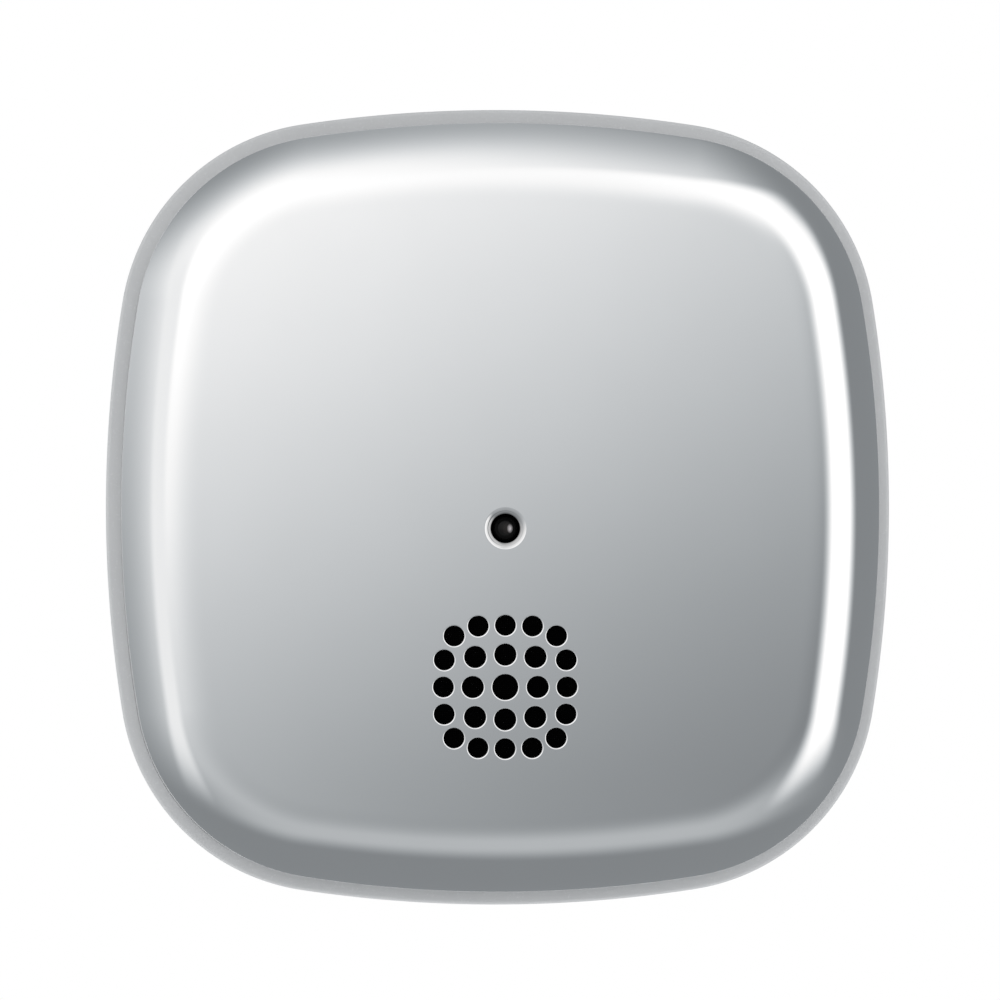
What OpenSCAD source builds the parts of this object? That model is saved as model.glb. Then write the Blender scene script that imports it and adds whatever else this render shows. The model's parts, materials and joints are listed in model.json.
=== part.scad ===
// Wall-mounted indoor alarm siren: a squircle back housing with a crowned metallised
// cover that swings up on two moulded hinge pins. Battery powered.
// Frame: origin at the middle of the wall face, +Z up, the cover faces -Y.
// Every module is drawn flat (x right, y up, z away from the wall) and stood up by pose().

/* [Body] */
// Overall width of the back housing
body_w = 86; // [85:0.5:88]
// Overall height of the back housing
body_h = 87.2; // [86:0.2:89]
// Depth from the wall to the crown of the cover
body_d = 30; // [29.6:0.1:31]
// Radius of the long bowed left and right edges
side_r = 140.4; // [130:1:160]
// Radius of the long bowed top and bottom edges
top_r = 142.8; // [130:1:160]
// Radius of the corners
corner_r = 23.4; // [22:0.2:25]

/* [Back housing] */
// Height of the visible rim above the wall
rim_h = 8; // [7.6:0.1:8.2]
// Width of the visible rim around the cover
rim_w = 1.5; // [1.4:0.1:2]
// Thickness of the floor
floor_t = 2; // [1.6:0.1:2]
// Horizontal distance between wall screws
screw_dx = 48; // [47:0.5:49]
// Vertical distance between wall screws
screw_dy = 60; // [60:0.5:62]
// Radius of the wall screw slots
screw_r = 2.1; // [1.8:0.1:2.3]
// End to end length of the wall screw slots
slot_len = 6.4; // [5:0.2:7]

/* [Cover] */
// Wall thickness of the cover
cover_t = 1.8; // [1.5:0.1:1.8]
// Gap between the cover and the rim
cover_gap = 0.25; // [0.2:0.05:0.3]
// Width of the rounded shoulder
shoulder_w = 9; // [8.5:0.25:9.5]
// Drop of the rounded shoulder
shoulder_h = 12; // [10:0.5:13]
// Drop of the crowned face, in mm per square mm of radius
crown = 0.00208; // [0.0015:0.0001:0.0022]

/* [Grille and lamp] */
// Height of the grille's middle above the body's middle
grille_y = -19; // [-19.2:0.1:-18.8]
// Radius of the middle hole
hole_c = 1.34; // [1.2:0.02:1.4]
// Radius of the inner ring's holes
hole_i = 1.13; // [1:0.01:1.16]
// Radius of the outer ring's holes
hole_o = 1.06; // [0.9:0.02:1.1]
// Height of the lamp above the body's middle
lamp_y = -2.2; // [-2.3:0.05:-2]
// Radius of the lamp hole
lamp_r = 1.6; // [1.6:0.05:1.8]

/* [Hinge] */
// Height of the hinge axis above the body's middle
hinge_y = 35.6; // [35.4:0.1:35.6]
// Distance of the hinge axis from the wall
hinge_z = 12.5; // [12.5:0.1:12.8]
// Radius of the hinge pins
pin_r = 1.25; // [1:0.05:1.3]

/* [Hidden] */
$fn = 48;

// ---- outline: four bowed edges and four corners, all tangent, by the angle of the normal
ax = body_w / 2 - side_r;
by = body_h / 2 - top_r;
ra = side_r - corner_r;
rb = top_r - corner_r;
dab = sqrt(ax * ax + by * by);
tab = (ra * ra - rb * rb + dab * dab) / (2 * dab);
hab = sqrt(ra * ra - tab * tab);
ex = -ax / dab;
ey = by / dab;
c1 = [ax + ex * tab + ey * hab, ey * tab - ex * hab];
c2 = [ax + ex * tab - ey * hab, ey * tab + ex * hab];
cc = c1[0] + c1[1] > c2[0] + c2[1] ? c1 : c2;
ang_s = atan2(cc[1], cc[0] - ax);
ang_t = atan2(cc[0], cc[1] - by);
NS = 4;
NC = 12;
QUAD = concat(
    [for (i = [0:NS - 1]) ang_s * i / NS],
    [for (i = [0:NC - 1]) ang_s + (90 - ang_t - ang_s) * i / NC],
    [for (i = [0:NS - 1]) 90 - ang_t + ang_t * i / NS]);
NQ = len(QUAD);
PHI = concat(QUAD, [90], [for (i = [NQ - 1:-1:1]) 180 - QUAD[i]],
    [for (q = QUAD) 180 + q], [270], [for (i = [NQ - 1:-1:1]) 360 - QUAD[i]]);
N = len(PHI);
function sgn(v) = v < 0 ? -1 : 1;
function at_edge(p, t) =
    let (c = cos(p), s = sin(p), q = atan2(abs(s), abs(c)))
    q < ang_s ? [sgn(c) * ax + (side_r - t) * c, (side_r - t) * s]
    : q > 90 - ang_t ? [(top_r - t) * c, sgn(s) * by + (top_r - t) * s]
    : [sgn(c) * cc[0] + (corner_r - t) * c, sgn(s) * cc[1] + (corner_r - t) * s];
function edge_line(t) = [for (p = PHI) at_edge(p, t)];

module pose() rotate([90, 0, 0]) children();
module plate(t, z0, z1) translate([0, 0, z0]) linear_extrude(z1 - z0) polygon(edge_line(t));

// closed solid through a stack of rings with N points each
module loft(rings) {
    m = len(rings);
    n = len(rings[0]);
    polyhedron(
        points = [for (r = rings) each r],
        faces = concat(
            [[for (i = [0:n - 1]) i]],
            [for (k = [0:m - 2], i = [0:n - 1]) [k * n + i, (k + 1) * n + (i + 1) % n, k * n + (i + 1) % n]],
            [for (k = [0:m - 2], i = [0:n - 1]) [k * n + i, (k + 1) * n + i, (k + 1) * n + (i + 1) % n]],
            [[for (i = [n - 1:-1:0]) (m - 1) * n + i]]));
}
function ring(t, z) = [for (p = edge_line(t)) [p[0], p[1], z]];

// round tube along a line of points
function unit(v) = v / norm(v);
module tube(path, r, sides = 8, ref = [0.31, 0.52, 0.79]) {
    m = len(path);
    tan = [for (i = [0:m - 1]) unit(path[min(i + 1, m - 1)] - path[max(i - 1, 0)])];
    nn = [for (t = tan) unit(cross(t, ref))];
    bb = [for (i = [0:m - 1]) cross(tan[i], nn[i])];
    loft([for (i = [0:m - 1]) [for (j = [0:sides - 1])
        path[i] - r * (cos(360 * j / sides) * nn[i] - sin(360 * j / sides) * bb[i])]]);
}
// coil along z, radius r0 at the foot and r1 at the top
function coil(r0, r1, h, turns, per = 14, a0 = 0) = [for (i = [0:turns * per])
    let (u = i / (turns * per), a = a0 + 360 * i / per, r = r0 + (r1 - r0) * u) [r * cos(a), r * sin(a), h * u]];
module spring(r0, r1, h, turns, wire, per = 14, sides = 6) {
    p = coil(r0, r1, h, turns, per);
    m = len(p);
    loft([for (i = [0:m - 1]) let (a = 360 * i / per) [for (j = [0:sides - 1])
        p[i] + wire * (cos(360 * j / sides) * [cos(a), sin(a), 0] + sin(360 * j / sides) * [0, 0, 1])]]);
}
module bar(x0, x1, y0, y1, z0, z1) translate([x0, y0, z0]) cube([x1 - x0, y1 - y0, z1 - z0]);
module cyl(x, y, z0, z1, r, f = 48) translate([x, y, z0]) cylinder(h = z1 - z0, r = r, $fn = f);

// ---- shared levels
cov_t = rim_w + cover_gap; // inset of the cover's edge
cov_z = rim_h - 1.8; // back edge of the cover
wall_t = cov_t + 0.15; // inset of the cover's wall under the shoulder
sh_t = wall_t + shoulder_w; // inset where the shoulder meets the crowned face
pcb_z = 5;
pcb_top = 6.6;
bat_x = 27;
bat_z = 16;
bat_r = 8.4;

// ---- crowned cover surface
function crown_z(p, top) = top - crown * (p[0] * p[0] + p[1] * p[1]);
function face_ring(s, top) = [for (p = edge_line(sh_t)) [s * p[0], s * p[1], crown_z(s * p, top)]];
function drop(a, h, w) = h * (1 - sqrt(max(0, 1 - pow(max(0, w - a) / w, 3))));
function shoulder_ring(u, t0, w, h, top) =
    let (a = w * (1 - cos(90 * u)))
    [for (p = edge_line(t0 + a)) [p[0], p[1], crown_z(p, top) - drop(a, h, w)]];
KS = 8; // steps round the shoulder
module shell(t_edge, t0, w, h, top, z0) loft(concat(
    [ring(t_edge, z0)],
    [for (k = [0:KS]) shoulder_ring(k / KS, t0, w, h, top)],
    [for (s = [0.75, 0.5, 0.25]) face_ring(s, top)]));

GR2 = [0, 24, 45, 66];
function sq_r(a) = 6.55 / pow(pow(abs(cos(a)), 3.67) + pow(abs(sin(a)), 3.67), 1 / 3.67);
GRILLE = concat(
    [[0, 0, hole_c]],
    [for (k = [0:3]) each [for (d = [[3.44, 0], [3.19, 3.19]])
        [d[0] * cos(90 * k) - d[1] * sin(90 * k), d[0] * sin(90 * k) + d[1] * cos(90 * k), hole_i]]],
    [for (k = [0:3], a = GR2) [sq_r(a) * cos(a + 90 * k), sq_r(a) * sin(a + 90 * k), hole_o]]);

module front_cover() color([0.78, 0.79, 0.8]) {
    difference() {
        union() {
            difference() {
                shell(cov_t, wall_t, shoulder_w, shoulder_h, body_d, cov_z);
                shell(cov_t + cover_t, wall_t + cover_t, shoulder_w - cover_t, shoulder_h - 1.6,
                    body_d - cover_t, cov_z - 0.01);
            }
            // tongue that the lock screw passes
            bar(-5, 5, -body_h / 2 + 2.75, -body_h / 2 + 4.2, 2.6, 9);
            // tamper post
            cyl(-9, 20, 16.1, 28, 1.6, 32);
            // hinge lugs with their pins
            for (s = [-1, 1]) {
                translate([s * 21.2, hinge_y, hinge_z]) rotate([0, 90, 0])
                    cylinder(h = 2.2, r = 2.6, center = true);
                bar(min(s * 20.1, s * 22.3), max(s * 20.1, s * 22.3), hinge_y - 2, hinge_y + 2.8, hinge_z, 18);
                translate([s * 18.25, hinge_y, hinge_z]) rotate([0, 90, 0])
                    cylinder(h = 4.1, r = pin_r, center = true);
            }
        }
        for (g = GRILLE) cyl(g[0], grille_y + g[1], 24, 31, g[2], 32);
        cyl(0, lamp_y, 27, 31, lamp_r, 32);
        translate([0, lamp_y, body_d - 0.51]) cylinder(h = 0.6, r1 = lamp_r, r2 = lamp_r + 0.6, $fn = 32);
        bar(-1.5, 1.5, -body_h / 2 + 2, -body_h / 2 + 5, 2, 4.6);
        translate([0, -body_h / 2 + 2, 4.6]) rotate([-90, 0, 0]) cylinder(h = 3, r = 1.5, $fn = 32);
    }
}

module slot_hole(x, y, r, len, z0, z1) {
    cyl(x - len / 2 + r, y, z0, z1, r);
    cyl(x + len / 2 - r, y, z0, z1, r);
    bar(x - len / 2 + r, x + len / 2 - r, y - r, y + r, z0, z1);
}

module base_housing() color([0.68, 0.69, 0.7]) difference() {
    union() {
        difference() {
            loft([ring(0.5, 0), ring(0, 0.5), ring(0, rim_h - 1.1), ring(0.32, rim_h - 0.3), ring(1.0, rim_h)]);
            plate(rim_w, 6, rim_h + 1);
            intersection() {
                plate(rim_w + 1.9, floor_t, 7);
                bar(-50, 50, -50, 34, 0, 10);
            }
            intersection() {
                plate(rim_w, floor_t, 7);
                bar(-50, 50, 33.9, 50, 0, 10);
            }
            // pocket for the cover's tongue
            bar(-5.6, 5.6, -body_h / 2 + rim_w, -body_h / 2 + 5, floor_t, 7);
        }
        // well that holds the sounder
        difference() {
            cyl(0, grille_y, floor_t - 0.5, 11, 15.4, 64);
            cyl(0, grille_y, floor_t - 1, 12, 14.6, 64);
        }
        for (s = [-1, 1]) cyl(s * 12.4, grille_y - 12.4, floor_t - 0.5, 11, 2.6, 32);
        // circuit board posts
        for (s = [-1, 1]) {
            cyl(s * 27, 22.3, floor_t - 0.5, pcb_z, 2.5, 32);
            cyl(s * 24, -23.6, floor_t - 0.5, pcb_z, 2.5, 32);
        }
        bar(-6, 6, 24.2, 25.2, floor_t - 0.5, pcb_z);
        // lock screw boss
        bar(-3.6, 3.6, -39.2, -35.2, floor_t - 0.5, 7.4);
        // hinge ears on goose necks
        for (s = [-1, 1]) {
            x0 = min(s * 16.6, s * 19.8);
            bar(x0, x0 + 3.2, 26.5, 29, floor_t - 0.5, hinge_z + 1.8);
            bar(x0, x0 + 3.2, 28.5, hinge_y, hinge_z - 1.8, hinge_z + 1.8);
            translate([s * 18.2, hinge_y, hinge_z]) rotate([0, 90, 0])
                cylinder(h = 3.2, r = 2.2, center = true);
        }
        // stiffening ribs on the floor
        for (s = [-1, 1]) {
            bar(s * 33 - 0.6, s * 33 + 0.6, -14, 14, floor_t - 0.5, 4.4);
            bar(s * 14 - 0.6, s * 14 + 0.6, 27.5, 38, floor_t - 0.5, 3.4);
        }
    }
    cyl(0, grille_y, floor_t, 12, 14.6, 64);
    for (sx = [-1, 1], sy = [-1, 1])
        slot_hole(sx * screw_dx / 2, sy * screw_dy / 2, screw_r, slot_len, -1, 6);
    for (s = [-1, 1]) {
        cyl(s * 12.4, grille_y - 12.4, 4, 12, 1.05, 24);
        cyl(s * 27, 22.3, 2.4, 6, 1.05, 24);
        cyl(s * 24, -23.6, 2.4, 6, 1.05, 24);
        translate([s * 18.2, hinge_y, hinge_z]) rotate([0, 90, 0])
            cylinder(h = 4, r = pin_r + 0.05, center = true);
    }
    // lock screw hole, its head's seat and its pilot
    translate([0, -body_h / 2 - 1, 4.6]) rotate([-90, 0, 0]) cylinder(h = 9, r = 1.35, $fn = 32);
    translate([0, -body_h / 2 - 1, 4.6]) rotate([-90, 0, 0]) cylinder(h = 2.45, r = 2.6, $fn = 32);
}

module lock_screw() color([0.75, 0.75, 0.75]) translate([0, 0, 4.6]) rotate([-90, 0, 0]) difference() {
    union() {
        translate([0, 0, -body_h / 2 + 0.15]) cylinder(h = 1.3, r = 2.4, $fn = 40);
        translate([0, 0, -body_h / 2 + 1.4]) cylinder(h = 6, r = 1.25, $fn = 32);
    }
    for (a = [0, 90]) rotate([0, 0, a]) translate([-1.4, -0.3, -body_h / 2]) cube([2.8, 0.6, 0.85]);
}

module main_pcb() color([0.1, 0.3, 0.18]) difference() {
    intersection() {
        plate(6.4, pcb_z, pcb_top);
        bar(-40, 40, -25.8, 25.4, 4, 8);
    }
    cyl(0, grille_y, 4, 8, 15.8, 64);
    bar(-15.8, 15.8, -30, grille_y, 4, 8);
    for (s = [-1, 1]) {
        cyl(s * 27, 22.3, 4, 8, 1.2, 24);
        cyl(s * 24, -23.6, 4, 8, 1.2, 24);
    }
    for (s = [-1, 1]) {
        cyl(s * 1.27, lamp_y, 4, 8, 0.4, 16);
        cyl(s * 5.3, -0.9, 4, 8, 0.6, 16);
    }
}

module small_screw(x, y, z, len, hr, sr) {
    difference() {
        cyl(x, y, z, z + 1.3, hr, 32);
        for (a = [0, 90]) translate([x, y, z + 0.6]) rotate([0, 0, a]) translate([-1.1, -0.22, 0]) cube([2.2, 0.44, 1]);
    }
    cyl(x, y, z - len, z + 0.1, sr, 24);
}
module pcb_screws() color([0.72, 0.72, 0.74]) for (s = [-1, 1]) {
    small_screw(s * 27, 22.3, pcb_top, 3.8, 1.9, 1);
    small_screw(s * 24, -23.6, pcb_top, 3.8, 1.9, 1);
}

module sounder_cup() color([0.06, 0.06, 0.065]) translate([0, grille_y, 0]) difference() {
    union() {
        cyl(0, 0, 3.2, 17, 14.4, 64);
        for (s = [-1, 1]) rotate([0, 0, s > 0 ? -45 : 225]) bar(10, 20.2, -2.7, 2.7, 11.05, 13);
    }
    cyl(0, 0, 4.4, 16, 12, 64);
    cyl(0, 0, 15, 18, 12.7, 64);
    for (s = [-1, 1]) {
        cyl(s * 12.4, -12.4, 10, 14, 1.25, 24);
        // slot for a lead
        bar(s * 4.4 - 0.7, s * 4.4 + 0.7, 9, 15, 12.2, 14.2);
    }
}

module sounder_cap() color([0.07, 0.07, 0.075]) translate([0, grille_y, 0]) rotate_extrude($fn = 64)
    polygon([[11.4, 15.25], [12.5, 15.25], [12.5, 17.05], [14.4, 17.05], [14.4, 18.6], [13.6, 19.4],
        [11.8, 21.2], [11.3, 22.4], [11.3, 24.9], [8.2, 24.9], [6.6, 23.2], [4.4, 21.2], [4, 20.4],
        [4, 19.6], [5, 19.3], [9.6, 18.9], [11.4, 18]]);

module piezo_plate() color([0.83, 0.67, 0.32]) cyl(0, grille_y, 15.02, 15.23, 12.5, 64);
module piezo_ceramic() color([0.85, 0.84, 0.8]) cyl(0, grille_y, 14.8, 15.01, 10, 64);
module sounder_foam() color([0.12, 0.12, 0.12]) difference() {
    cyl(0, grille_y, 24.92, 25.9, 11, 64);
    cyl(0, grille_y, 24, 27, 9.5, 64);
}
module sounder_screws() color([0.72, 0.72, 0.74]) for (s = [-1, 1])
    small_screw(s * 12.4, grille_y - 12.4, 13, 7.2, 2.1, 1);

LEAD = [[3.6, -11.5, 14.25], [3.9, -10, 13.9], [4.3, -8, 13.2], [4.4, -6, 13.1], [4.5, -4.6, 13],
    [4.7, -3, 12.6], [5, -1.8, 11.6], [5.2, -1.1, 10], [5.3, -0.9, 8.2], [5.3, -0.9, 5]];
module lead(s) tube([for (p = LEAD) [s * p[0], p[1], p[2]]], 0.45, 8);
module lead_red() color([0.7, 0.08, 0.06]) lead(-1);
module lead_black() color([0.05, 0.05, 0.05]) lead(1);

module lamp_lens() color([0.08, 0.08, 0.085]) translate([0, lamp_y, 0]) rotate_extrude($fn = 40)
    polygon(concat([[0, 24.1], [1.9, 24.1], [1.9, 25.1], [1.5, 25.1]],
        [for (a = [0:10:80]) [1.5 * cos(a), 27.9 + 1.5 * sin(a)]], [[0, 29.4]]));
module lamp_leads() color([0.75, 0.75, 0.72]) for (s = [-1, 1]) cyl(s * 1.27, lamp_y, 4.3, 24.08, 0.25, 16);
module lamp_spacer() color([0.9, 0.9, 0.88]) difference() {
    bar(-2.1, 2.1, lamp_y - 0.85, lamp_y + 0.85, pcb_top + 0.02, 24.07);
    for (s = [-1, 1]) cyl(s * 1.27, lamp_y, 5, 25, 0.32, 16);
}

module tamper_switch() color([0.09, 0.09, 0.1]) difference() {
    bar(-12.1, -5.9, 16.9, 23.1, pcb_top + 0.02, 11);
    cyl(-9, 20, 7, 12, 1.3, 32);
}
module tamper_plunger() color([0.85, 0.85, 0.83]) {
    cyl(-9, 20, 7.1, 15.2, 1.25, 32);
    cyl(-9, 20, 15.02, 16, 2.6, 32);
}
module tamper_spring() color([0.75, 0.75, 0.77]) translate([-9, 20, 11.25]) spring(1.95, 1.95, 3.5, 4, 0.2, 16, 6);

module learn_switch() color([0.1, 0.1, 0.11]) difference() {
    bar(-12, -6, 9, 15, pcb_top + 0.02, 10.1);
    cyl(-9, 12, 9.3, 11, 1.8, 32);
}
module learn_button() color([0.8, 0.79, 0.75]) cyl(-9, 12, 9.7, 12, 1.75, 32);

module power_switch() color([0.1, 0.1, 0.11]) difference() {
    bar(-4.3, 4.3, 2.8, 7.2, pcb_top + 0.02, 9.9);
    bar(-2.35, 2.35, 3.9, 6.1, 8.4, 11);
}
module power_switch_frame() color([0.76, 0.76, 0.78]) difference() {
    bar(-4.5, 4.5, 2.6, 7.4, 8, 10.25);
    bar(-4.32, 4.32, 2.78, 7.22, 7, 9.95);
    bar(-1.8, 1.8, 4.25, 5.75, 7, 11);
}
module power_knob() color([0.9, 0.9, 0.9]) {
    bar(-2.2, 0.2, 4, 6, 8.5, 9.7);
    bar(-1.7, -0.3, 4.35, 5.65, 9.6, 12.2);
}

// battery, drawn standing on its flat end at y = -17.6
module cell() {
    rotate([-90, 0, 0]) translate([0, 0, -17.6]) {
        cylinder(h = 33, r = bat_r, $fn = 64);
        cylinder(h = 34.1, r = 3.2, $fn = 48);
    }
}
module on_left() translate([-bat_x, 0, 0]) children();
module on_right() translate([bat_x, -2.4, 0]) rotate([0, 0, 180]) children();
module cell_body() translate([0, 0, bat_z]) difference() {
    cell();
    rotate([-90, 0, 0]) translate([0, 0, -16.4]) difference() {
        cylinder(h = 30.6, r = 12, $fn = 48);
        translate([0, 0, -1]) cylinder(h = 33, r = bat_r - 0.15, $fn = 64);
    }
}
module cell_label() translate([0, 0, bat_z]) rotate([-90, 0, 0]) translate([0, 0, -16.35]) difference() {
    cylinder(h = 30.5, r = bat_r, $fn = 64);
    translate([0, 0, -1]) cylinder(h = 33, r = bat_r - 0.14, $fn = 64);
}
module battery_left() color([0.76, 0.76, 0.78]) on_left() cell_body();
module battery_right() color([0.76, 0.76, 0.78]) on_right() cell_body();
module battery_label_left() color([0.15, 0.3, 0.55]) on_left() cell_label();
module battery_label_right() color([0.15, 0.3, 0.55]) on_right() cell_label();

module cradle() difference() {
    union() {
        bar(-9.6, 9.6, -21.4, 19, pcb_top + 0.02, 13.5);
        bar(-6, 6, -21.4, -20, 9, 21.5);
        bar(-6, 6, 17.6, 19, 9, 21.5);
    }
    bar(-8.6, 8.6, -20, 17.6, 11, 30);
    translate([0, 0, bat_z]) rotate([-90, 0, 0]) translate([0, 0, -20]) cylinder(h = 37.6, r = 8.65, $fn = 64);
    // finger cut in the outer wall and a drain of plastic under the cell
    bar(-11, 11, -7, 5, 10, 30);
    for (y = [-14, -4, 6]) bar(-3, 3, y, y + 6, 6, 9);
}
module cradle_left() color([0.1, 0.1, 0.11]) on_left() cradle();
module cradle_right() color([0.1, 0.1, 0.11]) on_right() cradle();

module contacts() {
    bar(-3.6, 3.6, 17.05, 17.5, 9.2, 20.5);
    bar(-4.6, 4.6, -19.9, -19.5, 9.2, 21);
}
module contact_plates() color([0.8, 0.79, 0.74]) { on_left() contacts(); on_right() contacts(); }
module cell_spring() translate([0, -19.1, bat_z]) rotate([-90, 0, 0]) spring(4.2, 2.4, 1.1, 2, 0.35, 18, 6);
module contact_springs() color([0.8, 0.79, 0.74]) { on_left() cell_spring(); on_right() cell_spring(); }

module radio_board() color([0.08, 0.22, 0.4]) bar(3.5, 15.5, 10.5, 24.4, pcb_top + 0.1, 7.5);
module radio_shield() color([0.8, 0.8, 0.82]) difference() {
    bar(4.6, 14.4, 11.4, 21, 7.52, 9.9);
    bar(4.85, 14.15, 11.65, 20.75, 7, 9.65);
}
module antenna() color([0.8, 0.62, 0.3]) translate([-4.3, 22.6, 9.5]) rotate([0, 90, 0]) spring(1.6, 1.6, 7, 6, 0.3, 12, 6);
module coil_core() color([0.16, 0.16, 0.17]) translate([-11.2, 3.6, pcb_top + 0.02]) rotate_extrude($fn = 48)
    polygon([[0, 0], [4.6, 0], [4.6, 1.3], [2.4, 1.3], [2.4, 7.7], [4.6, 7.7], [4.6, 9], [0, 9]]);
module coil_winding() color([0.72, 0.38, 0.18]) translate([-11.2, 3.6, pcb_top + 0.02]) rotate_extrude($fn = 48)
    polygon([[2.45, 1.35], [4.2, 1.35], [4.2, 7.65], [2.45, 7.65]]);
module capacitor() color([0.12, 0.16, 0.28]) translate([11.4, 3.4, pcb_top + 0.02]) rotate_extrude($fn = 48)
    polygon([[0, 0], [3.6, 0], [4, 0.4], [4, 1.3], [3.75, 1.6], [4, 1.9], [4, 11.1], [3.7, 11.5], [0, 11.5]]);
module controller_chip() color([0.08, 0.08, 0.085]) {
    bar(-3, 2, 10.5, 15.5, pcb_top + 0.1, 7.7);
    for (k = [-3:3]) {
        bar(-3.7, -3, 13 + 0.6 * k - 0.12, 13 + 0.6 * k + 0.12, pcb_top + 0.02, 7);
        bar(2, 2.7, 13 + 0.6 * k - 0.12, 13 + 0.6 * k + 0.12, pcb_top + 0.02, 7);
    }
}
CHIPS = [[-1.5, 18], [1.2, 18], [-15, 12], [-15, 15], [-15, 18], [-15, 21], [6.4, 8.6], [9.4, 8.6],
    [-3, 8.8], [0, 8.8], [15.6, 8.9], [-15.4, -1.6], [15.4, -1.6]];
module small_chips() color([0.25, 0.2, 0.16]) for (c = CHIPS)
    bar(c[0] - 0.8, c[0] + 0.8, c[1] - 0.4, c[1] + 0.4, pcb_top + 0.02, 7.1);
module solder_pads() color([0.75, 0.75, 0.74]) {
    for (c = CHIPS, s = [-1, 1]) bar(c[0] + s * 1.1 - 0.25, c[0] + s * 1.1 + 0.25, c[1] - 0.45, c[1] + 0.45, pcb_top + 0.01, 6.85);
    for (s = [-1, 1]) difference() {
        cyl(s * 5.3, -0.9, pcb_top + 0.01, 7.2, 1.1, 24);
        cyl(s * 5.3, -0.9, 6, 8, 0.48, 24);
    }
}

pose() base_housing();
pose() front_cover();
pose() lock_screw();
pose() main_pcb();
pose() pcb_screws();
pose() sounder_cup();
pose() sounder_cap();
pose() piezo_plate();
pose() piezo_ceramic();
pose() sounder_foam();
pose() sounder_screws();
pose() lead_red();
pose() lead_black();
pose() lamp_lens();
pose() lamp_leads();
pose() lamp_spacer();
pose() tamper_switch();
pose() tamper_spring();
pose() tamper_plunger();
pose() learn_switch();
pose() learn_button();
pose() power_switch();
pose() power_switch_frame();
pose() power_knob();
pose() battery_left();
pose() battery_right();
pose() battery_label_left();
pose() battery_label_right();
pose() cradle_left();
pose() cradle_right();
pose() contact_plates();
pose() contact_springs();
pose() radio_board();
pose() radio_shield();
pose() antenna();
pose() coil_core();
pose() coil_winding();
pose() capacitor();
pose() controller_chip();
pose() small_chips();
pose() solder_pads();
pose() grille_mesh();

// fine cloth behind the grille, bonded inside the cover and tilted with it
module grille_mesh() color([0.03, 0.03, 0.03])
    translate([0, grille_y, crown_z([0, grille_y], body_d - cover_t) - 0.27])
    rotate([atan(2 * crown * abs(grille_y)), 0, 0])
    translate([0, 0, -0.3]) cylinder(h = 0.3, r = 9.2, $fn = 48);
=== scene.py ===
import json
import math

import bmesh
import bpy
import numpy as np
from mathutils import Matrix, Vector


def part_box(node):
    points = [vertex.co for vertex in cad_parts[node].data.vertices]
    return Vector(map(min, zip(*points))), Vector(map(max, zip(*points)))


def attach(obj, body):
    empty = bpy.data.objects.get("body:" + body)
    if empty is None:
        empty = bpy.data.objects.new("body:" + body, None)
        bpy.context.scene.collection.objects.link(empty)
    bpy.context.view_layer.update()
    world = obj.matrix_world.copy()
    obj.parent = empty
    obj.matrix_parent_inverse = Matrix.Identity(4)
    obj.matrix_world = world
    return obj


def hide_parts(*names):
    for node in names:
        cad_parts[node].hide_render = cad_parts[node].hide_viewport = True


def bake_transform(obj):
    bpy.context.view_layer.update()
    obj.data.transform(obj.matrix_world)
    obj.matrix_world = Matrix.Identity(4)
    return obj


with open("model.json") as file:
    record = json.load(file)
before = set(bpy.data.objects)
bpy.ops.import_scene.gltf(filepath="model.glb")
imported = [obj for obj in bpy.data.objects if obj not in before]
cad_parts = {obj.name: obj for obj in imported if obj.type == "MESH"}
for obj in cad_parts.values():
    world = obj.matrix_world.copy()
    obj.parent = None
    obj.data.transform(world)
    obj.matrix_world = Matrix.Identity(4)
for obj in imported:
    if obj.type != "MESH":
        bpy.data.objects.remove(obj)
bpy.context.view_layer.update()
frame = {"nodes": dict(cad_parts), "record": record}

REC = frame["record"]
NODES = frame["nodes"]

# ------------------------------------------------------------------ the design's sizes, in mm
# Flat coordinates: x right, y up, z out from the wall. put() stands them up in the row frame.
W, H, D = 86.0, 87.2, 30.0
SIDE_R, TOP_R, CORNER_R = 140.4, 142.8, 23.4
RIM_H, RIM_W, FLOOR = 8.0, 1.5, 2.0
COV_T, COV_Z = RIM_W + 0.25, RIM_H - 1.8
WALL_T = COV_T + 0.15
SH_W, SH_H, SH_P = 9.0, 12.0, 3.0
CROWN = 0.00208
THICK = 1.8
GRILLE_Y, LAMP_Y = -19.0, -2.2
HINGE_Y, HINGE_Z = 35.6, 12.5


def put(p):
    return Vector((p[0] / 1000.0, -p[2] / 1000.0, p[1] / 1000.0))


def put_array(a):
    a = np.asarray(a, float)
    return np.stack([a[..., 0], -a[..., 2], a[..., 1]], -1) / 1000.0


AX, BY = W / 2 - SIDE_R, H / 2 - TOP_R
_ra, _rb = SIDE_R - CORNER_R, TOP_R - CORNER_R
_d = math.hypot(AX, BY)
_t = (_ra ** 2 - _rb ** 2 + _d ** 2) / (2 * _d)
_h = math.sqrt(_ra ** 2 - _t ** 2)
_ex, _ey = -AX / _d, BY / _d
CC = max([(AX + _ex * _t + _ey * _h, _ey * _t - _ex * _h), (AX + _ex * _t - _ey * _h, _ey * _t + _ex * _h)], key=sum)
ANG_S = math.atan2(CC[1], CC[0] - AX)
ANG_T = math.atan2(CC[0], CC[1] - BY)


def angles(n_edge, n_corner):
    q = [ANG_S * i / n_edge for i in range(n_edge)]
    q += [ANG_S + (math.pi / 2 - ANG_T - ANG_S) * i / n_corner for i in range(n_corner)]
    q += [math.pi / 2 - ANG_T + ANG_T * i / n_edge for i in range(n_edge)]
    out = q + [math.pi / 2] + [math.pi - a for a in q[:0:-1]]
    return np.array(out + [a + math.pi for a in out])


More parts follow.
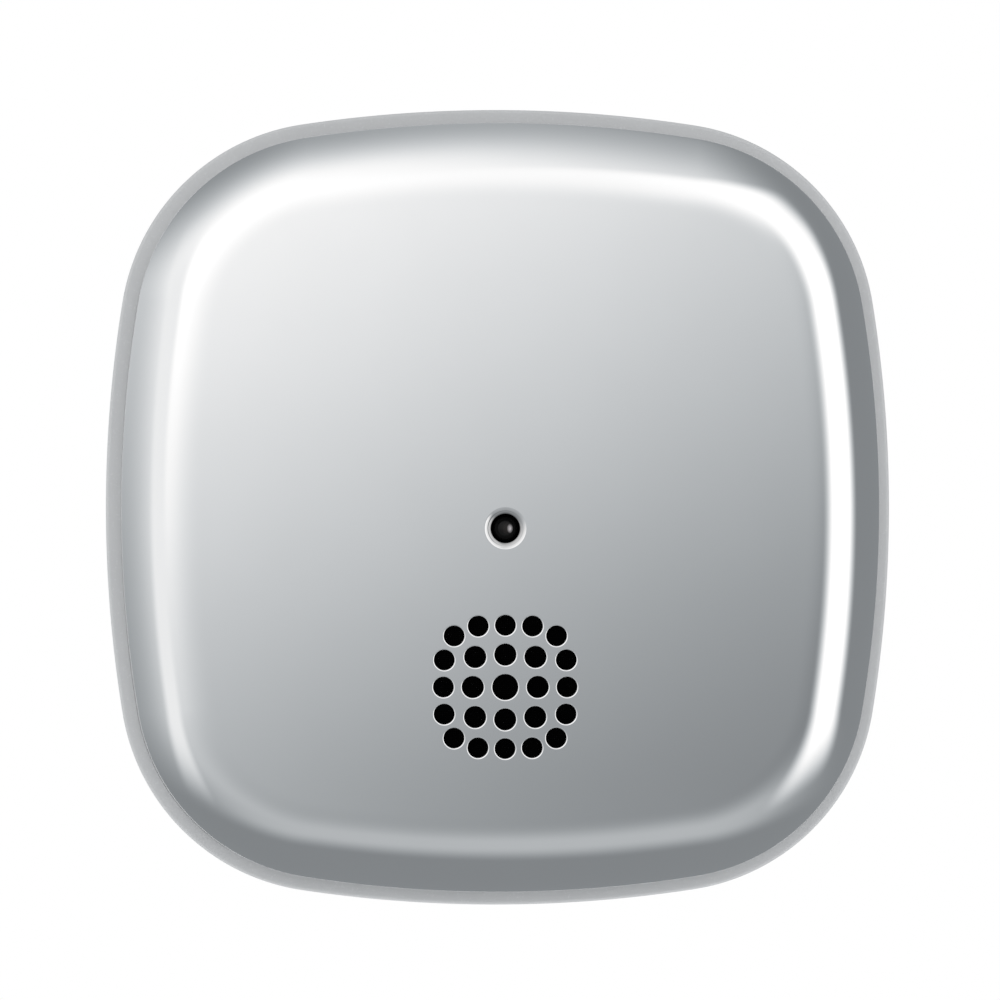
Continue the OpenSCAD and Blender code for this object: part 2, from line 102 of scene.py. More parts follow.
def edge_line(phi, t):
    c, s = np.cos(phi), np.sin(phi)
    q = np.arctan2(np.abs(s), np.abs(c))
    sx, sy = np.where(c < 0, -1.0, 1.0), np.where(s < 0, -1.0, 1.0)
    side = np.stack([sx * AX + (SIDE_R - t) * c, (SIDE_R - t) * s], -1)
    top = np.stack([(TOP_R - t) * c, sy * BY + (TOP_R - t) * s], -1)
    cor = np.stack([sx * CC[0] + (CORNER_R - t) * c, sy * CC[1] + (CORNER_R - t) * s], -1)
    return np.where((q < ANG_S - 1e-9)[:, None], side, np.where((q > math.pi / 2 - ANG_T + 1e-9)[:, None], top, cor))


def inset_of(x, y):
    """How far a point lies inside the outline, and the outline's outward direction there."""
    ax, ay = np.abs(x), np.abs(y)
    sx, sy = np.where(x < 0, -1.0, 1.0), np.where(y < 0, -1.0, 1.0)
    a_side = np.arctan2(ay, ax - AX)
    a_top = np.arctan2(ax, ay - BY)
    d_side = np.hypot(ax - AX, ay)
    d_top = np.hypot(ax, ay - BY)
    d_cor = np.hypot(ax - CC[0], ay - CC[1])
    in_side, in_top = a_side <= ANG_S, a_top <= ANG_T
    t = np.where(in_side, SIDE_R - d_side, np.where(in_top, TOP_R - d_top, CORNER_R - d_cor))
    both = in_side & in_top
    t = np.where(both, np.minimum(SIDE_R - d_side, TOP_R - d_top), t)
    gx = np.where(in_side, (ax - AX) / d_side, np.where(in_top, ax / d_top, (ax - CC[0]) / np.maximum(d_cor, 1e-9)))
    gy = np.where(in_side, ay / d_side, np.where(in_top, (ay - BY) / d_top, (ay - CC[1]) / np.maximum(d_cor, 1e-9)))
    return t, gx * sx, gy * sy


def drop(a, h=SH_H, w=SH_W):
    u = np.clip((w - a) / w, 0, 1)
    return h * (1 - np.sqrt(np.maximum(0.0, 1 - u ** SH_P)))


def crown_z(x, y, top=D):
    return top - CROWN * (x * x + y * y)


def face_z(x, y):
    t, _, _ = inset_of(x, y)
    return crown_z(x, y) - drop(np.maximum(t - WALL_T, 0.0))


def face_normal(x, y):
    """Exact normal of the cover's crowned face and shoulder."""
    t, gx, gy = inset_of(x, y)
    a = np.maximum(t - WALL_T, 1e-5)
    u = np.clip((SH_W - a) / SH_W, 0, 1)
    slope = SH_H * SH_P * u ** (SH_P - 1) / (2 * SH_W * np.sqrt(np.maximum(1 - u ** SH_P, 1e-9)))
    n = np.stack([2 * CROWN * x + slope * gx, 2 * CROWN * y + slope * gy, np.ones_like(x)], -1)
    return n / np.linalg.norm(n, axis=-1, keepdims=True)


# ------------------------------------------------------------------ solids
def to_object(name, verts, faces):
    me = bpy.data.meshes.new(name)
    me.from_pydata([tuple(p) for p in put_array(verts)], [], faces)
    me.validate()
    ob = bpy.data.objects.new(name, me)
    bpy.context.scene.collection.objects.link(ob)
    return ob


def loft(rings, pole0=False, pole1=False):
    """Closed solid through rings of equal length, anticlockwise seen from +z and rising."""
    n = len(rings[0])
    v = np.concatenate([np.asarray(r) for r in rings])
    f = []
    for k in range(len(rings) - 1):
        a, b = k * n, (k + 1) * n
        for i in range(n):
            j = (i + 1) % n
            f.append((a + i, a + j, b + j, b + i))
    if pole0:
        v = np.vstack([v, v[:n].mean(0)])
        c = len(v) - 1
        f += [(c, (i + 1) % n, i) for i in range(n)]
    else:
        f.append(tuple(range(n - 1, -1, -1)))
    m = (len(rings) - 1) * n
    if pole1 is not False:
        v = np.vstack([v, pole1 if not isinstance(pole1, bool) else v[m:m + n].mean(0)])
        c = len(v) - 1
        f += [(c, m + i, m + (i + 1) % n) for i in range(n)]
    else:
        f.append(tuple(m + i for i in range(n)))
    return v, f


def at_z(pts, z):
    return np.c_[pts, np.full(len(pts), float(z))]


def box(x0, x1, y0, y1, z0, z1, bevel=0.0):
    v = [(x, y, z) for z in (z0, z1) for y in (y0, y1) for x in (x0, x1)]
    f = [(0, 2, 3, 1), (4, 5, 7, 6), (0, 1, 5, 4), (2, 6, 7, 3), (0, 4, 6, 2), (1, 3, 7, 5)]
    return np.array(v, float), f


def rod(p, axis, length, r, n=48, centre=False, profile=None):
    """Cylinder, or a turned profile [(r, height), ...], along axis from p."""
    axis = np.asarray(axis, float)
    axis /= np.linalg.norm(axis)
    ref = np.array([0, 0, 1.0]) if abs(axis[2]) < 0.9 else np.array([1.0, 0, 0])
    u = np.cross(ref, axis)
    u /= np.linalg.norm(u)
    w = np.cross(axis, u)
    prof = profile or [(r, -length / 2 if centre else 0), (r, length / 2 if centre else length)]
    a = np.linspace(0, 2 * np.pi, n, endpoint=False)
    rings = [np.asarray(p) + axis * h + rr * (np.cos(a)[:, None] * u + np.sin(a)[:, None] * w) for rr, h in prof]
    v, f = loft(rings)
    return v, f


def joined(parts):
    v, f, k = [], [], 0
    for pv, pf in parts:
        v.append(np.asarray(pv, float))
        f += [tuple(i + k for i in q) for q in pf]
        k += len(pv)
    return np.concatenate(v), f


def cut(ob, solid, op="DIFFERENCE", solver="MANIFOLD"):
    """One boolean step, applied to the mesh."""
    other = to_object("cutter", *solid)
    mod = ob.modifiers.new("b", "BOOLEAN")
    mod.operation, mod.object, mod.solver = op, other, solver
    dg = bpy.context.evaluated_depsgraph_get()
    new = bpy.data.meshes.new_from_object(ob.evaluated_get(dg))
    if len(new.vertices) == 0 and solver == "MANIFOLD":
        ob.modifiers.clear()
        bpy.data.objects.remove(other)
        bpy.data.meshes.remove(new)
        return cut(ob, solid, op, "EXACT")
    ob.modifiers.clear()
    old = ob.data
    ob.data = new
    new.name = old.name
    bpy.data.meshes.remove(old)
    bpy.data.objects.remove(other)
    return ob


def smooth(ob, degrees=35.0, exact=None):
    """Smooth shading with sharp edges by angle; exact(points, face normals, normals) may give true normals."""
    me = ob.data
    me.polygons.foreach_set("use_smooth", [True] * len(me.polygons))
    me.set_sharp_from_angle(angle=math.radians(degrees))
    if exact is None:
        return ob
    nl = len(me.loops)
    vi = np.zeros(nl, np.int64)
    me.loops.foreach_get("vertex_index", vi)
    co = np.zeros(len(me.vertices) * 3)
    me.vertices.foreach_get("co", co)
    co = co.reshape(-1, 3) * 1000
    flat = np.stack([co[:, 0], co[:, 2], -co[:, 1]], -1)
    nor = np.zeros(nl * 3, np.float32)
    me.corner_normals.foreach_get("vector", nor)
    nor = nor.reshape(-1, 3).astype(float)
    start = np.zeros(len(me.polygons), np.int64)
    total = np.zeros(len(me.polygons), np.int64)
    me.polygons.foreach_get("loop_start", start)
    me.polygons.foreach_get("loop_total", total)
    pn = np.zeros(len(me.polygons) * 3)
    me.polygons.foreach_get("normal", pn)
    fn = np.repeat(pn.reshape(-1, 3), total, axis=0)
    order = np.concatenate([np.arange(s, s + t) for s, t in zip(start, total)])
    full = np.zeros((nl, 3))
    full[order] = fn
    as_flat = lambda n: np.stack([n[:, 0], n[:, 2], -n[:, 1]], -1)
    as_row = lambda n: np.stack([n[:, 0], -n[:, 2], n[:, 1]], -1)
    out = as_row(exact(flat[vi], as_flat(full), as_flat(nor)))
    out /= np.maximum(np.linalg.norm(out, axis=1, keepdims=True), 1e-9)
    me.normals_split_custom_set([tuple(n) for n in out])
    return ob


# ------------------------------------------------------------------ materials
def new_mat(name):
    m = bpy.data.materials.new(name)
    m.use_nodes = True
    nt = m.node_tree
    return m, nt, nt.nodes["Principled BSDF"]


def node(nt, kind, **values):
    n = nt.nodes.new(kind)
    for k, v in values.items():
        if k in n.inputs.keys():
            n.inputs[k].default_value = v
        else:
            setattr(n, k, v)
    return n


def link(nt, a, b):
    nt.links.new(a, b)


def math_node(nt, op, a, b=None, c=None, clamp=False):
    n = nt.nodes.new("ShaderNodeMath")
    n.operation, n.use_clamp = op, clamp
    for i, v in enumerate((a, b, c)):
        if v is None:
            continue
        if isinstance(v, (int, float)):
            n.inputs[i].default_value = v
        else:
            nt.links.new(v, n.inputs[i])
    return n.outputs[0]


def noise(nt, scale, detail=3.0, rough=0.55, vec=None, distortion=0.0):
    n = node(nt, "ShaderNodeTexNoise", Scale=scale, Detail=detail, Roughness=rough, Distortion=distortion)
    link(nt, vec or coords(nt), n.inputs["Vector"])
    return n.outputs["Fac"]


def coords(nt):
    for n in nt.nodes:
        if n.bl_idname == "ShaderNodeTexCoord":
            return n.outputs["Object"]
    return nt.nodes.new("ShaderNodeTexCoord").outputs["Object"]


def ramp(nt, fac, stops, mode="LINEAR"):
    n = nt.nodes.new("ShaderNodeValToRGB")
    n.color_ramp.interpolation = mode
    els = n.color_ramp.elements
    while len(els) < len(stops):
        els.new(0.5)
    for e, (p, c) in zip(els, stops):
        e.position, e.color = p, (*c, 1.0) if len(c) == 3 else c
    link(nt, fac, n.inputs["Fac"])
    return n.outputs["Color"]


def fit(nt, fac, a, b, lo=0.0, hi=1.0):
    n = nt.nodes.new("ShaderNodeMapRange")
    n.inputs[1].default_value, n.inputs[2].default_value = lo, hi
    n.inputs[3].default_value, n.inputs[4].default_value = a, b
    link(nt, fac, n.inputs[0])
    return n.outputs[0]


def mix(nt, fac, a, b):
    n = nt.nodes.new("ShaderNodeMix")
    n.data_type = "RGBA"
    for i, v in ((0, fac), (6, a), (7, b)):
        if isinstance(v, (int, float)):
            n.inputs[i].default_value = v
        elif isinstance(v, tuple):
            n.inputs[i].default_value = (*v, 1.0)
        else:
            link(nt, v, n.inputs[i])
    return n.outputs[2]


def bump(nt, bsdf, height, strength, distance=0.0001, socket="Normal"):
    n = node(nt, "ShaderNodeBump", Strength=strength, Distance=distance)
    link(nt, height, n.inputs["Height"])
    link(nt, n.outputs["Normal"], bsdf.inputs[socket])
    return n


def scaled(c, k):
    return tuple(max(0.0, min(1.0, x * k)) for x in c)


def surface(name, col, metallic=0.0, rough=(0.4, 0.5), vary=0.06, big=60.0, fine=1500.0, bumps=0.15, depth=0.00004,
            worn=None, ior=1.5, coat=0.0, coat_rough=0.1, stretch=None, detail=4.0, spec=None, dust=None):
    """A moulded, rolled or painted surface: mottled colour, uneven roughness, fine bump, rubbed edges."""
    m, nt, p = new_mat(name)
    vec = coords(nt)
    if stretch:
        mp = node(nt, "ShaderNodeMapping", Scale=stretch)
        link(nt, vec, mp.inputs["Vector"])
        vec = mp.outputs["Vector"]
    c = ramp(nt, noise(nt, big, 4, 0.6, vec), [(0.3, scaled(col, 1 - vary)), (0.5, col), (0.7, scaled(col, 1 + vary))])
    if dust:
        c = mix(nt, math_node(nt, "MULTIPLY", ramp_value(nt, noise(nt, 350, 6, 0.7), 0.52, 0.72), dust[1]), c, dust[0])
    if worn:
        g = nt.nodes.new("ShaderNodeNewGeometry")
        edge = math_node(nt, "MULTIPLY", ramp_value(nt, g.outputs["Pointiness"], 0.54, 0.62), ramp_value(nt, noise(nt, 900, 4), 0.4, 0.62))
        c = mix(nt, edge, c, worn)
    link(nt, c, p.inputs["Base Color"])
    link(nt, fit(nt, noise(nt, big * 7, 5, 0.65, vec), rough[0], rough[1], 0.3, 0.7), p.inputs["Roughness"])
    p.inputs["Metallic"].default_value = metallic
    p.inputs["IOR"].default_value = ior
    if spec is not None:
        p.inputs["Specular IOR Level"].default_value = spec
    if coat:
        p.inputs["Coat Weight"].default_value = coat
        p.inputs["Coat Roughness"].default_value = coat_rough
    bump(nt, p, noise(nt, fine, detail, 0.6, vec), bumps, depth)
    return m


def ramp_value(nt, fac, a, b):
    return fit(nt, fac, 0.0, 1.0, a, b)


def position(nt):
    s = nt.nodes.new("ShaderNodeSeparateXYZ")
    link(nt, coords(nt), s.inputs[0])
    return s.outputs


def step(nt, value, at, width):
    """0 below at, 1 above it, over a short width in metres."""
    return fit(nt, value, 0.0, 1.0, at - width / 2, at + width / 2)


def dress(node_name, material):
    ob = NODES[node_name]
    if len(ob.material_slots) == 0:
        ob.data.materials.append(material)
    for s in ob.material_slots:
        s.material = material


def finish_piece(ob, material, body, slot, *replaced):
    ob.data.materials.clear()
    ob.data.materials.append(material)
    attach(ob, body)
    if replaced:
        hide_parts(*replaced)
    return ob


# ------------------------------------------------------------------ front cover
PHI = angles(56, 64)
PHI_IN = angles(16, 24)
GRILLE = [(0.0, 0.0, 1.34)]
for k in range(4):
    c, s = math.cos(k * math.pi / 2), math.sin(k * math.pi / 2)
    for x, y in ((3.44, 0.0), (3.19, 3.19)):
        GRILLE.append((x * c - y * s, x * s + y * c, 1.13))
    for deg in (0, 24, 45, 66):
        a = math.radians(deg)
        rr = 6.55 / (abs(math.cos(a)) ** 3.67 + abs(math.sin(a)) ** 3.67) ** (1 / 3.67)
        GRILLE.append((rr * math.cos(a + k * math.pi / 2), rr * math.sin(a + k * math.pi / 2), 1.06))


def cover_shell(phi, t_edge, t0, w, h, top, z0, steps, face_steps, lip=0.0):
    rings = [at_z(edge_line(phi, t_edge + lip), z0)]
    if lip:
        rings.append(at_z(edge_line(phi, t_edge + lip * 0.3), z0 + lip * 0.3))
        rings.append(at_z(edge_line(phi, t_edge), z0 + lip))
    for k in range(steps + 1):
        a = w * (1 - math.cos(math.pi / 2 * k / steps)) if k < steps else w
        p = edge_line(phi, t0 + a)
        z = crown_z(p[:, 0], p[:, 1], top) - drop(a, h, w)
        if k == 0 and lip:
            for q in (0.25, 0.5, 0.75):
                m = edge_line(phi, t_edge + (t0 - t_edge) * q)
                rings.append(np.c_[m, z0 + lip + (z - z0 - lip) * q])
        rings.append(np.c_[p, z])
    e = edge_line(phi, t0 + w)
    for k in range(1, face_steps):
        p = e * (1 - k / face_steps)
        rings.append(np.c_[p, crown_z(p[:, 0], p[:, 1], top)])
    return loft(rings, pole1=np.array([0, 0, top]))


def tool_at(x, y, r, edge, n=56, deep=4.5):
    """Turned cutter for a hole with a rolled edge, square to the face."""
    nrm = face_normal(np.array([x]), np.array([y]))[0]
    p = np.array([x, y, float(face_z(np.array([x]), np.array([y]))[0])])
    prof = [(r, -deep), (r, -edge)]
    for k in range(1, 6):
        q = math.radians(82) * k / 5
        prof.append((r + edge - edge * math.cos(q), -edge + edge * math.sin(q)))
    last = prof[-1]
    prof += [(last[0] + 0.4, last[1] + 0.5), (last[0] + 0.4, 1.5)]
    return rod(p, nrm, 0, 0, n, profile=prof)


def lamp_tool():
    """Cutter for the lamp's hole: a shallow dish, a fine step, then the bore."""
    n = face_normal(np.array([0.0]), np.array([LAMP_Y]))[0]
    p = np.array([0.0, LAMP_Y, float(face_z(np.array([0.0]), np.array([LAMP_Y]))[0])])
    prof, r, z = [(1.54, -4.5), (1.54, 0.0)], 1.54, 0.0
    for slope, run in ((60, 0.02), (38, 0.05), (33, 0.2), (16, 0.03), (5, 0.05), (18, 0.03), (33, 0.22), (27, 0.05),
                       (18, 0.05), (9, 0.05)):
        r, z = r + run, z + run * math.tan(math.radians(slope))
        prof.append((r, z))
    prof = [(a, b - z if b > -4 else b) for a, b in prof]
    prof += [(r + 0.3, 0.12), (r + 0.3, 1.5)]
    return rod(p, n, 0, 0, 96, profile=prof)


def make_cover():
    ob = to_object("front_cover_shell", *cover_shell(PHI, COV_T, WALL_T, SH_W, SH_H, D, COV_Z, 44, 34, lip=0.18))
    inner = cover_shell(PHI_IN, COV_T + THICK, WALL_T + THICK, SH_W - THICK, SH_H - 1.6, D - THICK, COV_Z - 1.0, 14, 8)
    cut(ob, inner)
    parts = [box(-5, 5, -H / 2 + 2.75, -H / 2 + 4.2, 2.6, 9)]
    parts.append(rod((-9, 20, 16.1), (0, 0, 1), 0, 0, 40, profile=[(1.35, 0), (1.6, 0.25), (1.6, 11.6)]))
    for s in (-1, 1):
        lug = to_object("lug", *rod((s * 21.2, HINGE_Y, HINGE_Z), (1, 0, 0), 2.2, 2.6, 56, centre=True))
        cut(lug, box(min(s * 20.1, s * 22.3), max(s * 20.1, s * 22.3), HINGE_Y - 2, HINGE_Y + 2.8, HINGE_Z, 18), "UNION")
        cut(lug, rod((s * 18.25, HINGE_Y, HINGE_Z), (1, 0, 0), 0, 0, 48,
                     profile=[(1.0, -2.05), (1.25, -1.8), (1.25, 1.8), (1.0, 2.05)] if s < 0 else
                     [(1.0, -2.05), (1.25, -1.8), (1.25, 1.8), (1.0, 2.05)]), "UNION")
        co = np.array([v.co for v in lug.data.vertices]) * 1000
        parts.append((np.stack([co[:, 0], co[:, 2], -co[:, 1]], -1), [tuple(p.vertices) for p in lug.data.polygons]))
        bpy.data.objects.remove(lug)
    # join the tab at the bottom, the post over the tamper spring and the hinge lugs to the shell, clear of everything
    # below
    for part in parts:
        cut(ob, part, "UNION")
    cut(ob, joined([tool_at(x, GRILLE_Y + y, r, 0.2) for x, y, r in GRILLE]))
    cut(ob, lamp_tool())
    cut(ob, box(-1.5, 1.5, -H / 2 + 2, -H / 2 + 5, 2, 4.6))
    cut(ob, rod((0, -H / 2 + 2, 4.6), (0, 1, 0), 3, 1.5, 40))
    return ob


def cover_exact(p, fn, nor):
    t, gx, gy = inset_of(p[:, 0], p[:, 1])
    z = crown_z(p[:, 0], p[:, 1]) - drop(np.maximum(t - WALL_T, 0.0))
    true = face_normal(p[:, 0], p[:, 1])
    on = (np.abs(p[:, 2] - z) < 0.01 + 0.05 * (t < WALL_T + 0.6)) & ((fn * true).sum(1) > 0.93) & (t > WALL_T + 0.02)
    return np.where(on[:, None], true, nor)


cover = make_cover()
cover.name = "front_cover_shell"
smooth(cover, 32, cover_exact)


# ------------------------------------------------------------------ back housing
def make_base():
    rings = [at_z(edge_line(PHI, 0.5), 0), at_z(edge_line(PHI, 0.15), 0.15), at_z(edge_line(PHI, 0), 0.5)]
    rings += [at_z(edge_line(PHI, 0), z) for z in (2.5, 4.7)]
    for k in range(0, 9):
        q = math.pi / 2 * k / 8
        rings.append(at_z(edge_line(PHI, 0.4 * (1 - math.cos(q))), RIM_H - 0.4 + 0.4 * math.sin(q)))
    rings.append(at_z(edge_line(PHI, 2.4), RIM_H))
    ob = to_object("back_housing", *loft(rings))

    def prism(t, z0, z1, phi=PHI):
        return loft([at_z(edge_line(phi, t), z0), at_z(edge_line(phi, t), z1)])

    lip = COV_T - 0.06 - 0.13 * np.clip(-1.3 * np.sin(PHI), 0, 1)
    cut(ob, loft([at_z(edge_line(PHI, lip), 6), at_z(edge_line(PHI, lip), RIM_H - 0.14),
                  at_z(edge_line(PHI, lip - 0.05), RIM_H - 0.04), at_z(edge_line(PHI, lip - 0.14), RIM_H),
                  at_z(edge_line(PHI, lip - 0.14), RIM_H + 2)]))
    tray = to_object("tray", *prism(RIM_W + 1.9, FLOOR, 7, PHI_IN))
    cut(tray, box(-50, 50, -50, 34, 0, 10), "INTERSECT")
    top = to_object("top", *prism(RIM_W, FLOOR, 7, PHI_IN))
    cut(top, box(-50, 50, 33.9, 50, 0, 10), "INTERSECT")
    for o in (tray, top):
        co = np.array([v.co for v in o.data.vertices]) * 1000
        cut(ob, (np.stack([co[:, 0], co[:, 2], -co[:, 1]], -1), [tuple(p.vertices) for p in o.data.polygons]))
        bpy.data.objects.remove(o)
    cut(ob, box(-5.6, 5.6, -H / 2 + RIM_W, -H / 2 + 5, FLOOR, 7))
    add = []
    add.append(rod((0, GRILLE_Y, FLOOR - 0.5), (0, 0, 1), 0, 0, 96, profile=[(15.4, 0), (15.4, 9.2), (15.1, 9.5)]))
    for s in (-1, 1):
        add.append(rod((s * 12.4, GRILLE_Y - 12.4, FLOOR - 0.5), (0, 0, 1), 9.5, 2.6, 40))
        add.append(rod((s * 27, 22.3, FLOOR - 0.5), (0, 0, 1), 3.5, 2.5, 40))
        add.append(rod((s * 24, -23.6, FLOOR - 0.5), (0, 0, 1), 3.5, 2.5, 40))
        x0 = min(s * 16.6, s * 19.8)
        add.append(box(x0, x0 + 3.2, 26.5, 29, FLOOR - 0.5, HINGE_Z + 1.8))
        add.append(box(x0, x0 + 3.2, 28.5, HINGE_Y, HINGE_Z - 1.8, HINGE_Z + 1.8))
        add.append(rod((s * 18.2, HINGE_Y, HINGE_Z), (1, 0, 0), 3.2, 2.2, 48, centre=True))
        add.append(box(s * 33 - 0.6, s * 33 + 0.6, -14, 14, FLOOR - 0.5, 4.4))
        add.append(box(s * 14 - 0.6, s * 14 + 0.6, 27.5, 38, FLOOR - 0.5, 3.4))
    add.append(box(-6, 6, 24.2, 25.2, FLOOR - 0.5, 5))
    add.append(box(-3.6, 3.6, -39.2, -35.2, FLOOR - 0.5, 7.4))
    for a in add:
        cut(ob, a, "UNION")
    cut(ob, rod((0, GRILLE_Y, FLOOR), (0, 0, 1), 10, 14.6, 96))
    holes = []
    for sx in (-1, 1):
        for sy in (-1, 1):
            o = to_object("slot", *rod((sx * 24 - 1.1, sy * 30, -1), (0, 0, 1), 7, 2.1, 40))
            cut(o, rod((sx * 24 + 1.1, sy * 30, -1), (0, 0, 1), 7, 2.1, 40), "UNION")
            cut(o, box(sx * 24 - 1.1, sx * 24 + 1.1, sy * 30 - 2.1, sy * 30 + 2.1, -1, 6), "UNION")
            co = np.array([v.co for v in o.data.vertices]) * 1000
            holes.append((np.stack([co[:, 0], co[:, 2], -co[:, 1]], -1), [tuple(p.vertices) for p in o.data.polygons]))
            bpy.data.objects.remove(o)
    for s in (-1, 1):
        holes.append(rod((s * 12.4, GRILLE_Y - 12.4, 4), (0, 0, 1), 8, 1.05, 28))
        holes.append(rod((s * 27, 22.3, 2.4), (0, 0, 1), 3.6, 1.05, 28))
        holes.append(rod((s * 24, -23.6, 2.4), (0, 0, 1), 3.6, 1.05, 28))
        holes.append(rod((s * 18.2, HINGE_Y, HINGE_Z), (1, 0, 0), 4, 1.3, 40, centre=True))
    holes.append(rod((0, -H / 2 - 1, 4.6), (0, 1, 0), 9, 1.35, 40))
    holes.append(rod((0, -H / 2 - 1, 4.6), (0, 1, 0), 0, 0, 56, profile=[(3.1, 0), (3.1, 0.9), (2.6, 1.3), (2.6, 2.45)]))
    for h in holes:
        cut(ob, h)
    # wall side: a shallow recess inside a flat land, crossed by ribs that join the four screw pads
    well = to_object("well", *prism(3.2, -1, 0.6, PHI_IN))
    for sx in (-1, 1):
        cut(well, box(sx * 24 - 0.6, sx * 24 + 0.6, -30, 30, -2, 2))
        for sy in (-1, 1):
            cut(well, rod((sx * 24, sy * 30, -2), (0, 0, 1), 4, 6.2, 56))
            cut(well, box(sx * 24 - 0.6, sx * 24 + 0.6, min(sy * 34, sy * 39), max(sy * 34, sy * 39), -2, 2))
            cut(well, box(min(sx * 28, sx * 39.5), max(sx * 28, sx * 39.5), sy * 30 - 0.6, sy * 30 + 0.6, -2, 2))
    for y in (-30, 30):
        cut(well, box(-24, 24, y - 0.6, y + 0.6, -2, 2))
    ring = to_object("ring", *rod((0, GRILLE_Y, -2), (0, 0, 1), 4, 16.2, 96))
    cut(ring, rod((0, GRILLE_Y, -3), (0, 0, 1), 6, 15.0, 96))
    ring_co = np.array([v.co for v in ring.data.vertices]) * 1000
    cut(well, (np.stack([ring_co[:, 0], ring_co[:, 2], -ring_co[:, 1]], -1), [tuple(p.vertices) for p in ring.data.polygons]))
    bpy.data.objects.remove(ring)
    # a blank label field stands 0.35 mm up from the recess
    cut(well, box(-15.5, 15.5, 3.5, 20.5, 0.25, 2))
    co = np.array([v.co for v in well.data.vertices]) * 1000
    cut(ob, (np.stack([co[:, 0], co[:, 2], -co[:, 1]], -1), [tuple(p.vertices) for p in well.data.polygons]))
    bpy.data.objects.remove(well)
    for x, y, depth in ((-34, 12, 0.68), (34, 12, 0.68), (-34, -12, 0.68), (34, -12, 0.68), (-9, 35, 0.68), (9, 35, 0.68),
                        (-19.3, 12, 0.68), (19.3, 12, 0.68), (-9, -38, 0.68), (9, -38, 0.68), (0, GRILLE_Y, 0.75)):
        cut(ob, rod((x, y, -1), (0, 0, 1), 1 + depth, 1.5 if x else 2.4, 40))
    return ob


base = make_base()
base.name = "back_housing"
smooth(base, 32)


# ------------------------------------------------------------------ lamp
def turned(name, x, y, profile, n=96):
    """Closed turned solid about z from [(r, z), ...] that starts and ends on the axis."""
    a = np.linspace(0, 2 * np.pi, n, endpoint=False)
    v, f = [(x, y, profile[0][1])], []
    for r, z in profile[1:-1]:
        v += [(x + r * math.cos(q), y + r * math.sin(q), z) for q in a]
    v.append((x, y, profile[-1][1]))
    m = len(profile) - 2
    f += [(0, 1 + (i + 1) % n, 1 + i) for i in range(n)]
    for k in range(m - 1):
        b = 1 + k * n
        f += [(b + i, b + (i + 1) % n, b + n + (i + 1) % n, b + n + i) for i in range(n)]
    b = 1 + (m - 1) * n
    f += [(b + i, b + (i + 1) % n, len(v) - 1) for i in range(n)]
    return to_object(name, np.array(v), f)


lens_profile = [(0, 24.1), (1.8, 24.1), (1.9, 24.2), (1.9, 25.0), (1.8, 25.1), (1.47, 25.15)]
lens_profile += [(1.47, 26.4), (1.47, 27.93)]
lens_profile += [(1.47 * math.cos(math.radians(q)), 27.93 + 1.47 * math.sin(math.radians(q))) for q in range(5, 90, 5)]
lens_profile += [(0, 29.4)]
lens = turned("lamp_dome", 0, LAMP_Y, lens_profile)
smooth(lens, 40)


# ------------------------------------------------------------------ materials
def metallised(name):
    """Vacuum-metallised lacquer: bright mirror with a breath of haze, faint flow marks and hairline rubbing."""
    m, nt, p = new_mat(name)
    c = ramp(nt, noise(nt, 45, 4, 0.6), [(0.3, (0.92, 0.92, 0.921)), (0.7, (0.94, 0.94, 0.941))])
    # painted shade: the mirror darkens towards black round the lamp's hole
    px, _, pz = position(nt)
    pz = math_node(nt, "SUBTRACT", pz, LAMP_Y / 1000)
    rho = math_node(nt, "SQRT", math_node(nt, "ADD", math_node(nt, "MULTIPLY", px, px), math_node(nt, "MULTIPLY", pz, pz)))
    c = mix(nt, fit(nt, rho, 0.3, 1.0, 0.0015, 0.0023), (0.0, 0.0, 0.0), c)
    link(nt, c, p.inputs["Base Color"])
    p.inputs["Metallic"].default_value = 1.0
    haze = fit(nt, noise(nt, 70, 5, 0.6), 0.045, 0.075, 0.3, 0.7)
    link(nt, haze, p.inputs["Roughness"])
    fine = noise(nt, 2600, 3, 0.5)
    bump(nt, p, fine, 0.03, 0.00001)
    return m


def satin_rim(name):
    """Satin silver moulding: tiny metallic flake in a grey lacquer over a fine texture."""
    m, nt, p = new_mat(name)
    flake = node(nt, "ShaderNodeTexVoronoi", Scale=5200.0)
    link(nt, coords(nt), flake.inputs["Vector"])
    base = ramp(nt, noise(nt, 55, 4, 0.6), [(0.3, (0.565, 0.572, 0.58)), (0.7, (0.59, 0.598, 0.606))])
    py = position(nt)[1]
    c = mix(nt, math_node(nt, "MULTIPLY", ramp_value(nt, flake.outputs["Color"], 0.75, 1.0), 0.35), base, (0.74, 0.75, 0.76))
    # the wall side is bare moulding: greyer, scuffed, with a soft overspray line round its edge
    mp = node(nt, "ShaderNodeMapping", Scale=(1.0, 1.0, 9.0), Rotation=(0.0, 0.5, 0.0))
    link(nt, coords(nt), mp.inputs["Vector"])
    bare = ramp(nt, noise(nt, 38, 5, 0.65), [(0.3, (0.44, 0.447, 0.452)), (0.7, (0.5, 0.506, 0.51))])
    scuff = ramp_value(nt, noise(nt, 160, 6, 0.75, mp.outputs["Vector"]), 0.6, 0.72)
    bare = mix(nt, math_node(nt, "MULTIPLY", scuff, 0.4), bare, (0.66, 0.665, 0.67))
    line = math_node(nt, "ADD", py, math_node(nt, "MULTIPLY", noise(nt, 260, 4, 0.6), 0.0008))
    c = mix(nt, fit(nt, line, 0.0, 1.0, -0.0012, -0.0006), c, bare)
    link(nt, c, p.inputs["Base Color"])
    p.inputs["Metallic"].default_value = 0.1
    p.inputs["Specular IOR Level"].default_value = 0.35
    link(nt, fit(nt, noise(nt, 700, 5, 0.6), 0.55, 0.68, 0.3, 0.7), p.inputs["Roughness"])
    bump(nt, p, noise(nt, 3600, 4, 0.6), 0.12, 0.00002)
    return m


